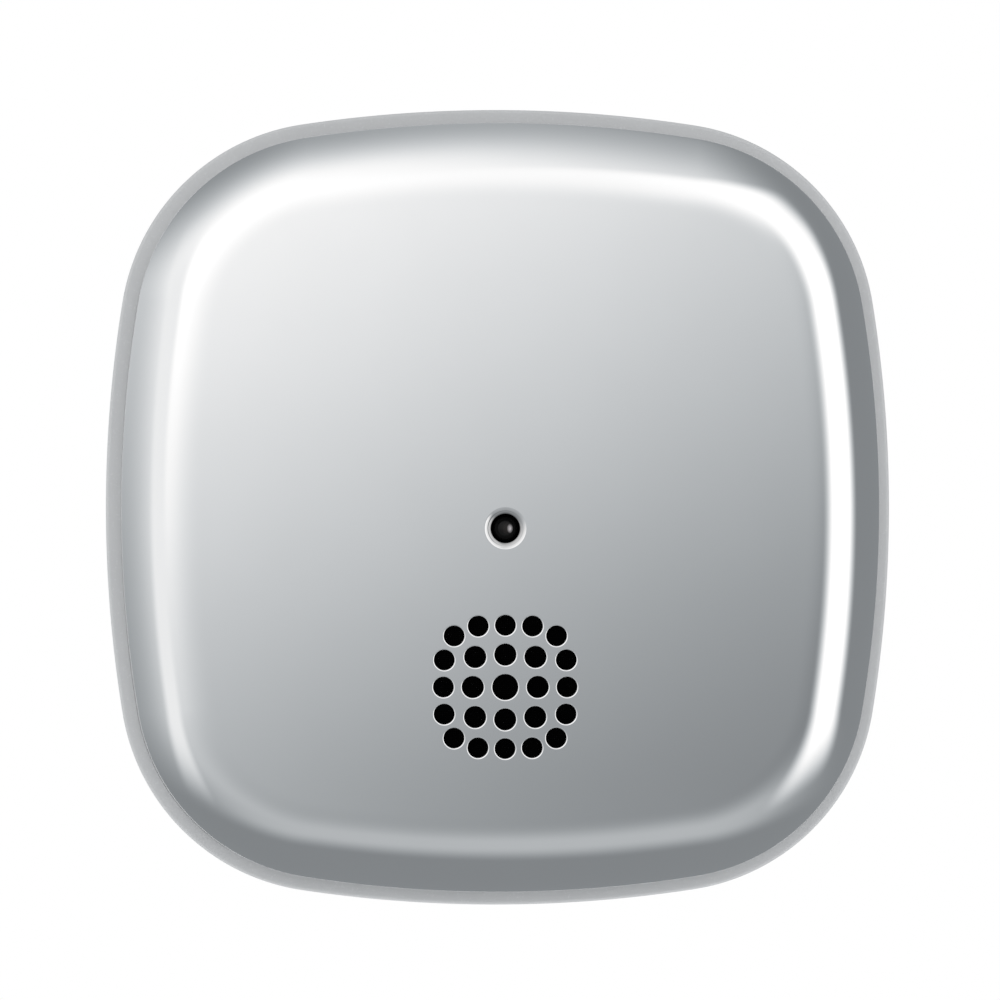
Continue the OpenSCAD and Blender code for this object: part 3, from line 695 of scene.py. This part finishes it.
def board(name, mask, trace, pad=(0.72, 0.6, 0.3)):
    """Printed board: traces under solder mask, small plated vias, bare fibre at the cut edge."""
    m, nt, p = new_mat(name)
    xyz = position(nt)
    v = node(nt, "ShaderNodeTexVoronoi", Scale=260.0)
    v.distance = "MANHATTAN"
    link(nt, coords(nt), v.inputs["Vector"])
    lines = math_node(nt, "PINGPONG", v.outputs["Distance"], 0.14)
    t = ramp_value(nt, lines, 0.085, 0.1)
    via = node(nt, "ShaderNodeTexVoronoi", Scale=310.0, Randomness=0.85)
    link(nt, coords(nt), via.inputs["Vector"])
    dot = fit(nt, via.outputs["Distance"], 1.0, 0.0, 0.1, 0.13)
    hole = fit(nt, via.outputs["Distance"], 1.0, 0.0, 0.045, 0.06)
    front = step(nt, math_node(nt, "MULTIPLY", xyz[1], -1.0), 0.00655, 0.00004)
    c = mix(nt, noise(nt, 90, 4), mask, scaled(mask, 1.25))
    c = mix(nt, math_node(nt, "MULTIPLY", t, 0.75), c, trace)
    c = mix(nt, math_node(nt, "MULTIPLY", dot, front), c, pad)
    c = mix(nt, math_node(nt, "MULTIPLY", hole, front), c, (0.01, 0.01, 0.01))
    g = nt.nodes.new("ShaderNodeNewGeometry")
    side = math_node(nt, "ABSOLUTE", separate(nt, g.outputs["Normal"])[1])
    c = mix(nt, fit(nt, side, 1.0, 0.0, 0.3, 0.6), c, (0.34, 0.33, 0.16))
    link(nt, c, p.inputs["Base Color"])
    link(nt, fit(nt, noise(nt, 800, 4), 0.24, 0.36, 0.3, 0.7), p.inputs["Roughness"])
    h = math_node(nt, "ADD", math_node(nt, "MULTIPLY", t, 0.6), math_node(nt, "MULTIPLY", noise(nt, 3000, 4), 0.25))
    bump(nt, p, h, 0.35, 0.00003)
    p.inputs["Coat Weight"].default_value = 0.25
    return m


def separate(nt, vec):
    s = nt.nodes.new("ShaderNodeSeparateXYZ")
    link(nt, vec, s.inputs[0])
    return s.outputs


def cloth_mesh(name):
    """Fine woven black acoustic cloth."""
    m, nt, p = new_mat(name)
    xyz = position(nt)
    wx = math_node(nt, "SINE", math_node(nt, "MULTIPLY", xyz[0], 2 * math.pi / 0.00022))
    wz = math_node(nt, "SINE", math_node(nt, "MULTIPLY", xyz[2], 2 * math.pi / 0.00022))
    weave = math_node(nt, "MAXIMUM", wx, wz)
    c = ramp(nt, weave, [(0.3, (0.0004, 0.0004, 0.0004)), (0.9, (0.002, 0.002, 0.0022))])
    link(nt, c, p.inputs["Base Color"])
    link(nt, fit(nt, weave, 1.0, 0.85), p.inputs["Roughness"])
    p.inputs["Specular IOR Level"].default_value = 0.02
    bump(nt, p, weave, 0.5, 0.00003)
    return m


def sleeve(name, x0):
    """Shrunk sleeve of a lithium cell: two-tone bands, fine wrinkles, no lettering."""
    m, nt, p = new_mat(name)
    xyz = position(nt)
    c = mix(nt, noise(nt, 120, 4), (0.03, 0.10, 0.26), (0.04, 0.125, 0.31))
    band = math_node(nt, "MULTIPLY", step(nt, xyz[2], -0.0115 + x0, 0.0001), math_node(nt, "SUBTRACT", 1.0, step(nt, xyz[2], -0.0095 + x0, 0.0001)))
    c = mix(nt, band, c, (0.72, 0.73, 0.74))
    c = mix(nt, step(nt, xyz[2], 0.0085 - x0 * 0.2, 0.0001), c, (0.55, 0.56, 0.57))
    link(nt, c, p.inputs["Base Color"])
    link(nt, fit(nt, noise(nt, 500, 5), 0.22, 0.36, 0.3, 0.7), p.inputs["Roughness"])
    p.inputs["Coat Weight"].default_value = 0.5
    p.inputs["Coat Roughness"].default_value = 0.15
    mp = node(nt, "ShaderNodeMapping", Scale=(900, 900, 90))
    link(nt, coords(nt), mp.inputs["Vector"])
    bump(nt, p, noise(nt, 1.0, 4, 0.6, mp.outputs["Vector"]), 0.12, 0.00004)
    return m


def wound(name, col, pitch, axis=1):
    """Enamelled copper in close turns along an axis."""
    m, nt, p = new_mat(name)
    xyz = position(nt)
    w = math_node(nt, "ABSOLUTE", math_node(nt, "SINE", math_node(nt, "MULTIPLY", xyz[axis], math.pi / pitch)))
    c = ramp(nt, w, [(0.05, scaled(col, 0.35)), (0.45, col), (1.0, scaled(col, 1.25))])
    c = mix(nt, math_node(nt, "MULTIPLY", noise(nt, 300, 4), 0.3), c, scaled(col, 0.8))
    link(nt, c, p.inputs["Base Color"])
    p.inputs["Metallic"].default_value = 0.85
    link(nt, fit(nt, noise(nt, 900, 4), 0.22, 0.38, 0.3, 0.7), p.inputs["Roughness"])
    bump(nt, p, w, 0.8, 0.00012)
    return m


def foam(name):
    m, nt, p = new_mat(name)
    v = node(nt, "ShaderNodeTexVoronoi", Scale=2600.0)
    link(nt, coords(nt), v.inputs["Vector"])
    c = ramp(nt, v.outputs["Distance"], [(0.1, (0.004, 0.004, 0.004)), (0.6, (0.035, 0.035, 0.036))])
    link(nt, c, p.inputs["Base Color"])
    link(nt, fit(nt, noise(nt, 900, 4), 0.85, 1.0, 0.3, 0.7), p.inputs["Roughness"])
    p.inputs["Specular IOR Level"].default_value = 0.2
    bump(nt, p, v.outputs["Distance"], 0.9, 0.0002)
    return m


def two_zone(name, axis, at, below, above, width=0.00006, metal=(0.0, 1.0), rough=(0.5, 0.35), sign=1.0, bumps=0.15, fine=1500):
    """One node with two finishes, split across a plane."""
    m, nt, p = new_mat(name)
    v = position(nt)[axis]
    if sign < 0:
        v = math_node(nt, "MULTIPLY", v, -1.0)
    s = step(nt, v, at, width)
    n = noise(nt, 160, 4)
    c = mix(nt, s, mix(nt, n, below, scaled(below, 1.3)), mix(nt, n, above, scaled(above, 0.85)))
    link(nt, c, p.inputs["Base Color"])
    link(nt, math_node(nt, "ADD", metal[0], math_node(nt, "MULTIPLY", s, metal[1] - metal[0])), p.inputs["Metallic"])
    r = math_node(nt, "ADD", math_node(nt, "MULTIPLY", s, rough[1] - rough[0]), fit(nt, noise(nt, 700, 4), rough[0] - 0.06, rough[0] + 0.06, 0.3, 0.7))
    link(nt, r, p.inputs["Roughness"])
    bump(nt, p, noise(nt, fine, 4), bumps, 0.00004)
    return m


def dark_lens(name):
    """Smoke-tinted moulded lamp: near black, a cup seen faintly through it, and a painted highlight: a small bright
    spot in a soft lighter patch off its middle.
    """
    m, nt, p = new_mat(name)
    xyz = position(nt)

    def away(x0, z0, sx, sz):
        dx = math_node(nt, "DIVIDE", math_node(nt, "SUBTRACT", xyz[0], x0), sx)
        dz = math_node(nt, "DIVIDE", math_node(nt, "SUBTRACT", xyz[2], z0), sz)
        return math_node(nt, "SQRT", math_node(nt, "ADD", math_node(nt, "MULTIPLY", dx, dx), math_node(nt, "MULTIPLY", dz, dz)))

    lz = LAMP_Y / 1000
    r = away(0.0, lz, 0.0015, 0.0015)
    c = ramp(nt, r, [(0.0, (0.008, 0.0075, 0.007)), (0.5, (0.007, 0.007, 0.007)), (0.62, (0.001, 0.001, 0.001)),
                     (0.76, (0.009, 0.009, 0.009)), (0.86, (0.001, 0.001, 0.001)), (1.0, (0.001, 0.001, 0.001))])
    # painted highlight: a soft lighter patch and a small bright spot right of the lens's middle
    painted_highlight_glow = fit(nt, away(0.0002, lz, 0.00055, 0.0006), 1.0, 0.0, 0.4, 1.2)
    c = mix(nt, math_node(nt, "MULTIPLY", painted_highlight_glow, 0.35), c, (0.05, 0.045, 0.043))
    painted_highlight_spot = fit(nt, away(0.00049, lz - 0.00001, 0.00026, 0.0004), 1.0, 0.0, 0.1, 1.25)
    painted_highlight_spot = math_node(nt, "MULTIPLY", painted_highlight_spot, fit(nt, noise(nt, 2600, 3), 0.75, 1.0, 0.35, 0.65))
    c = mix(nt, painted_highlight_spot, c, (0.6, 0.57, 0.58))
    link(nt, c, p.inputs["Base Color"])
    link(nt, fit(nt, noise(nt, 1800, 4), 0.1, 0.17, 0.3, 0.7), p.inputs["Roughness"])
    p.inputs["Specular IOR Level"].default_value = 0.12
    bump(nt, p, noise(nt, 2500, 3), 0.04, 0.00001)
    return m


def coil(x, y, z0, z1, r, wire, turns, closed=1.25, n=26, ring=14):
    """Compression spring wound about z with closed, ground ends."""
    total = int(turns * n)
    a = np.linspace(0, 1, total + 1) * turns
    free = turns - 2 * closed
    lift = np.where(a < closed, a * wire * 2, np.where(a > turns - closed, (z1 - z0 - 2 * wire) - (turns - a) * wire * 2, 0))
    lo, hi = closed * wire * 2, (z1 - z0 - 2 * wire) - closed * wire * 2
    mid = (a >= closed) & (a <= turns - closed)
    lift = np.where(mid, lo + (a - closed) / free * (hi - lo), lift)
    t = a * 2 * np.pi
    path = np.stack([x + r * np.cos(t), y + r * np.sin(t), z0 + wire + lift], -1)
    out = np.stack([np.cos(t), np.sin(t), 0 * t], -1)
    up = np.array([0, 0, 1.0])
    q = np.linspace(0, 2 * np.pi, ring, endpoint=False)
    v = (path[:, None, :] + wire * (np.cos(q)[None, :, None] * out[:, None, :] + np.sin(q)[None, :, None] * up)).reshape(-1, 3)
    f = []
    for i in range(total):
        for j in range(ring):
            k = (j + 1) % ring
            f.append((i * ring + j, i * ring + k, (i + 1) * ring + k, (i + 1) * ring + j))
    m = total * ring
    v = np.vstack([v, path[0], path[-1]])
    f += [(len(v) - 2, (j + 1) % ring, j) for j in range(ring)]
    f += [(len(v) - 1, m + j, m + (j + 1) % ring) for j in range(ring)]
    return v, f


M = {}
M["cover"] = metallised("cover_metallised")
M["rim"] = satin_rim("housing_satin")
M["cloth"] = cloth_mesh("acoustic_cloth")
M["black"] = surface("black_moulding", (0.028, 0.028, 0.03), 0, (0.45, 0.6), 0.2, 60, 2200, 0.25, 0.00004, worn=(0.09, 0.09, 0.095), dust=((0.12, 0.12, 0.12), 0.12))
M["sounder"] = surface("sounder_moulding", (0.022, 0.022, 0.024), 0, (0.35, 0.5), 0.2, 80, 2600, 0.2, 0.00004, worn=(0.08, 0.08, 0.085), coat=0.1, dust=((0.12, 0.12, 0.12), 0.1))
M["screw"] = surface("zinc_screw", (0.62, 0.63, 0.66), 1, (0.22, 0.38), 0.12, 300, 2500, 0.2, 0.00003, worn=(0.8, 0.8, 0.8))
M["white"] = surface("white_moulding", (0.74, 0.74, 0.71), 0, (0.38, 0.52), 0.05, 90, 2200, 0.15, 0.00003, worn=(0.82, 0.82, 0.8))
M["cream"] = surface("cream_moulding", (0.68, 0.62, 0.48), 0, (0.38, 0.52), 0.06, 200, 2600, 0.2, 0.00003, worn=(0.8, 0.76, 0.66))
M["brass"] = surface("brass_disc", (0.78, 0.58, 0.26), 1, (0.25, 0.4), 0.1, 90, 1800, 0.15, 0.00003, stretch=(1, 1, 6))
M["ceramic"] = surface("silvered_ceramic", (0.7, 0.68, 0.63), 0.3, (0.4, 0.55), 0.08, 90, 2600, 0.2, 0.00003)
M["foam"] = foam("foam_ring")
M["red"] = surface("red_wire", (0.48, 0.018, 0.014), 0, (0.35, 0.5), 0.1, 200, 2500, 0.15, 0.00003, coat=0.15)
M["wire_black"] = surface("black_wire", (0.016, 0.016, 0.017), 0, (0.35, 0.5), 0.2, 200, 2500, 0.15, 0.00003, coat=0.15)
M["tinned"] = surface("tinned_wire", (0.66, 0.66, 0.64), 1, (0.28, 0.42), 0.1, 300, 2500, 0.15, 0.00003)
M["spring"] = surface("spring_wire", (0.58, 0.58, 0.6), 1, (0.2, 0.34), 0.12, 300, 3000, 0.2, 0.00002, worn=(0.75, 0.75, 0.76))
M["can"] = surface("nickel_can", (0.66, 0.65, 0.62), 1, (0.18, 0.32), 0.08, 120, 1800, 0.12, 0.00003, stretch=(1, 1, 5))
M["nickel"] = surface("nickel_strip", (0.64, 0.62, 0.56), 1, (0.24, 0.4), 0.1, 150, 2000, 0.15, 0.00003, stretch=(6, 1, 1), worn=(0.8, 0.78, 0.72))
M["tin"] = surface("tin_shield", (0.66, 0.67, 0.68), 1, (0.26, 0.42), 0.1, 160, 1500, 0.2, 0.00004, stretch=(8, 1, 1), worn=(0.82, 0.82, 0.82))
M["ferrite"] = surface("ferrite", (0.045, 0.045, 0.05), 0, (0.5, 0.65), 0.25, 200, 2200, 0.5, 0.00006, worn=(0.14, 0.14, 0.15))
M["copper"] = surface("copper_wire", (0.74, 0.42, 0.2), 1, (0.2, 0.34), 0.12, 300, 3000, 0.15, 0.00002)
M["wound"] = wound("copper_winding", (0.62, 0.27, 0.1), 0.00035)
M["chip_small"] = surface("small_ceramic_parts", (0.2, 0.13, 0.085), 0, (0.35, 0.55), 0.3, 700, 3000, 0.3, 0.00003)
M["solder"] = surface("solder", (0.66, 0.66, 0.65), 1, (0.25, 0.45), 0.1, 500, 2600, 0.4, 0.00004)
M["board_green"] = board("main_board", (0.012, 0.1, 0.04), (0.025, 0.17, 0.065))
M["board_blue"] = board("radio_board_mask", (0.01, 0.045, 0.16), (0.02, 0.09, 0.27))
M["sleeve_l"] = sleeve("cell_sleeve_left", 0.0)
M["sleeve_r"] = sleeve("cell_sleeve_right", 0.0015)
M["lens"] = dark_lens("lamp_smoke")
M["capacitor"] = two_zone("capacitor_sleeve", 1, 0.01765, (0.015, 0.03, 0.09), (0.7, 0.7, 0.72), sign=-1.0, metal=(0.0, 1.0), rough=(0.3, 0.32))
M["controller"] = surface("moulded_epoxy", (0.022, 0.022, 0.024), 0, (0.5, 0.65), 0.2, 400, 3200, 0.4, 0.00004, worn=(0.5, 0.5, 0.5))

finish_piece(cover, M["cover"], "cover", "cover_silver", "front_cover")
finish_piece(base, M["rim"], "base", "rim_silver", "base_housing")
finish_piece(lens, M["lens"], "base", "lamp_dark", "lamp_lens")
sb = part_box("tamper_spring")
spring = to_object("tamper_coil", *coil(-9, 20, -sb[1][1] * 1000, -sb[0][1] * 1000, 1.95, 0.2, 5.5))
smooth(spring, 60)
spring.data.materials.append(M["spring"])
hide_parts("tamper_spring")
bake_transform(spring)
for n, m in {
        "grille_mesh": "cloth", "lock_screw": "screw", "main_pcb": "board_green", "pcb_screws": "screw",
        "sounder_cup": "sounder", "sounder_cap": "sounder", "piezo_plate": "brass", "piezo_ceramic": "ceramic",
        "sounder_foam": "foam", "sounder_screws": "screw", "lead_red": "red", "lead_black": "wire_black",
        "lamp_leads": "tinned", "lamp_spacer": "white", "tamper_switch": "black", "tamper_spring": "spring",
        "tamper_plunger": "white", "learn_switch": "black", "learn_button": "cream", "power_switch": "black",
        "power_switch_frame": "tin", "power_knob": "white", "battery_left": "can", "battery_right": "can",
        "battery_label_left": "sleeve_l", "battery_label_right": "sleeve_r", "cradle_left": "black",
        "cradle_right": "black", "contact_plates": "nickel", "contact_springs": "spring", "radio_board": "board_blue",
        "radio_shield": "tin", "antenna": "copper", "coil_core": "ferrite", "coil_winding": "wound",
        "capacitor": "capacitor", "controller_chip": "controller", "small_chips": "chip_small",
        "solder_pads": "solder", "front_cover": "cover", "base_housing": "rim", "lamp_lens": "lens"}.items():
    dress(n, M[m])

# ------------------------------------------------------------------ studio
scene = bpy.context.scene
scene.view_settings.view_transform = "Standard"
scene.view_settings.look = "None"
scene.view_settings.exposure = 0.0
scene.view_settings.gamma = 1.0

# Five large soft boxes in an even grey room. Each: middle x, z; turn; half width, half height; softness; brightness.
# x and z are the tilt of a mirror that would send the box's light straight back along +Y.
ROOM_LIGHT = 0.25
BOXES = [
    (0.0, -0.4, 0.0, 0.5, 0.15, 0.8, 0.5),      # low fill
    (-0.3, 0.3, 0.5, 0.55, 0.35, 0.9, 1.15),    # key, upper left
    (-0.6, 0.0, 0.0, 0.1, 0.4, 0.5, 0.9),       # left strip
    (0.3, 0.4, 0.4, 0.25, 0.12, 0.5, 1.1),      # top
    (0.5, 0.05, 0.1, 0.18, 0.4, 0.4, 1.2),      # right strip
]


def make_world():
    w = bpy.data.worlds.new("studio")
    scene.world = w
    w.use_nodes = True
    nt = w.node_tree
    nt.nodes.clear()
    tc = nt.nodes.new("ShaderNodeTexCoord")

    def vmath(op, a, b=None, c=None):
        n = nt.nodes.new("ShaderNodeVectorMath")
        n.operation = op
        for i, v in enumerate((a, b, c)):
            if v is None:
                continue
            if isinstance(v, tuple):
                n.inputs[i].default_value = v
            elif isinstance(v, float):
                n.inputs["Scale"].default_value = v
            else:
                link(nt, v, n.inputs[i])
        return n

    half = vmath("NORMALIZE", vmath("ADD", tc.outputs["Generated"], (0.0, -1.0, 0.0)).outputs[0]).outputs[0]
    hs = separate(nt, half)
    comb = nt.nodes.new("ShaderNodeCombineXYZ")
    link(nt, hs[0], comb.inputs[0])
    link(nt, hs[2], comb.inputs[1])
    h2 = comb.outputs[0]
    mul = lambda a, b: math_node(nt, "MULTIPLY", a, b)
    add = lambda a, b: math_node(nt, "ADD", a, b)

    def mask(cx, cz, turn, a, b, soft):
        v = vmath("SUBTRACT", h2, (cx, cz, 0.0)).outputs[0]
        r = nt.nodes.new("ShaderNodeVectorRotate")
        r.rotation_type = "Z_AXIS"
        r.inputs["Angle"].default_value = -turn
        link(nt, v, r.inputs["Vector"])
        v = vmath("MULTIPLY", r.outputs[0], (1 / a, 1 / b, 0.0)).outputs[0]
        v = vmath("MULTIPLY", v, v).outputs[0]
        v = vmath("DOT_PRODUCT", v, v).outputs["Value"]
        q = math_node(nt, "POWER", v, 0.25)
        n = nt.nodes.new("ShaderNodeMapRange")
        n.interpolation_type = "SMOOTHSTEP"
        n.inputs[1].default_value, n.inputs[2].default_value = 1 - soft, 1 + soft
        n.inputs[3].default_value, n.inputs[4].default_value = 1.0, 0.0
        link(nt, q, n.inputs[0])
        return n.outputs[0]

    def over(level, value, m):
        """level * (1 - m) + value * m"""
        d = math_node(nt, "SUBTRACT", value, level)
        return add(level, mul(d, m))

    level = ROOM_LIGHT
    for c in BOXES:
        level = over(level, c[6], mask(*c[:6]))
    # the dimmer the light, the cooler it is
    tint = nt.nodes.new("ShaderNodeCombineColor")
    for i, (k0, k1) in enumerate(((0.92, 0.08), (1.0, 0.0), (1.06, -0.06))):
        k = add(k0, mul(level, k1))
        k = math_node(nt, "MINIMUM", k, 1.0) if k1 > 0 else math_node(nt, "MAXIMUM", k, 1.0)
        link(nt, mul(level, k), tint.inputs[i])
    bg = nt.nodes.new("ShaderNodeBackground")
    link(nt, tint.outputs[0], bg.inputs["Color"])
    white = nt.nodes.new("ShaderNodeBackground")
    white.inputs["Color"].default_value = (1, 1, 1, 1)
    lp = nt.nodes.new("ShaderNodeLightPath")
    ms = nt.nodes.new("ShaderNodeMixShader")
    link(nt, lp.outputs["Is Camera Ray"], ms.inputs[0])
    link(nt, bg.outputs[0], ms.inputs[1])
    link(nt, white.outputs[0], ms.inputs[2])
    out = nt.nodes.new("ShaderNodeOutputWorld")
    link(nt, ms.outputs[0], out.inputs["Surface"])
    w.cycles.sampling_method = "MANUAL"
    w.cycles.sample_map_resolution = 1024


make_world()

# plain pale floor, well below the object, which hangs on its wall face
fl = to_object("studio_floor", *box(-1000, 1000, -162, -160, -1000, 1000))
mf, ntf, pf = new_mat("pale_floor")
link(ntf, ramp(ntf, noise(ntf, 9, 4), [(0.3, (0.86, 0.86, 0.86)), (0.7, (0.9, 0.9, 0.9))]), pf.inputs["Base Color"])
pf.inputs["Roughness"].default_value = 0.7
pf.inputs["Emission Color"].default_value = (1, 1, 1, 1)
pf.inputs["Emission Strength"].default_value = 0.5
fl.data.materials.append(mf)
fl.visible_glossy = False

# camera: a long lens straight in front, a hair to the left
yaw = math.radians(1.95)
DIST = 600.0
target = np.array([0.2, 0.8, 6.9])
eye = target + DIST * np.array([-math.sin(yaw), 0, math.cos(yaw)])
cam = bpy.data.cameras.new("camera")
cam.sensor_width = 36.0
cam.lens = 36.0 * DIST / (1000 / 9.10)
cam.clip_start, cam.clip_end = 0.01, 20.0
camera = bpy.data.objects.new("camera", cam)
scene.collection.objects.link(camera)
camera.location = put(eye)
camera.rotation_mode = "QUATERNION"
camera.rotation_quaternion = (put(target) - put(eye)).to_track_quat("-Z", "Y")
scene.camera = camera
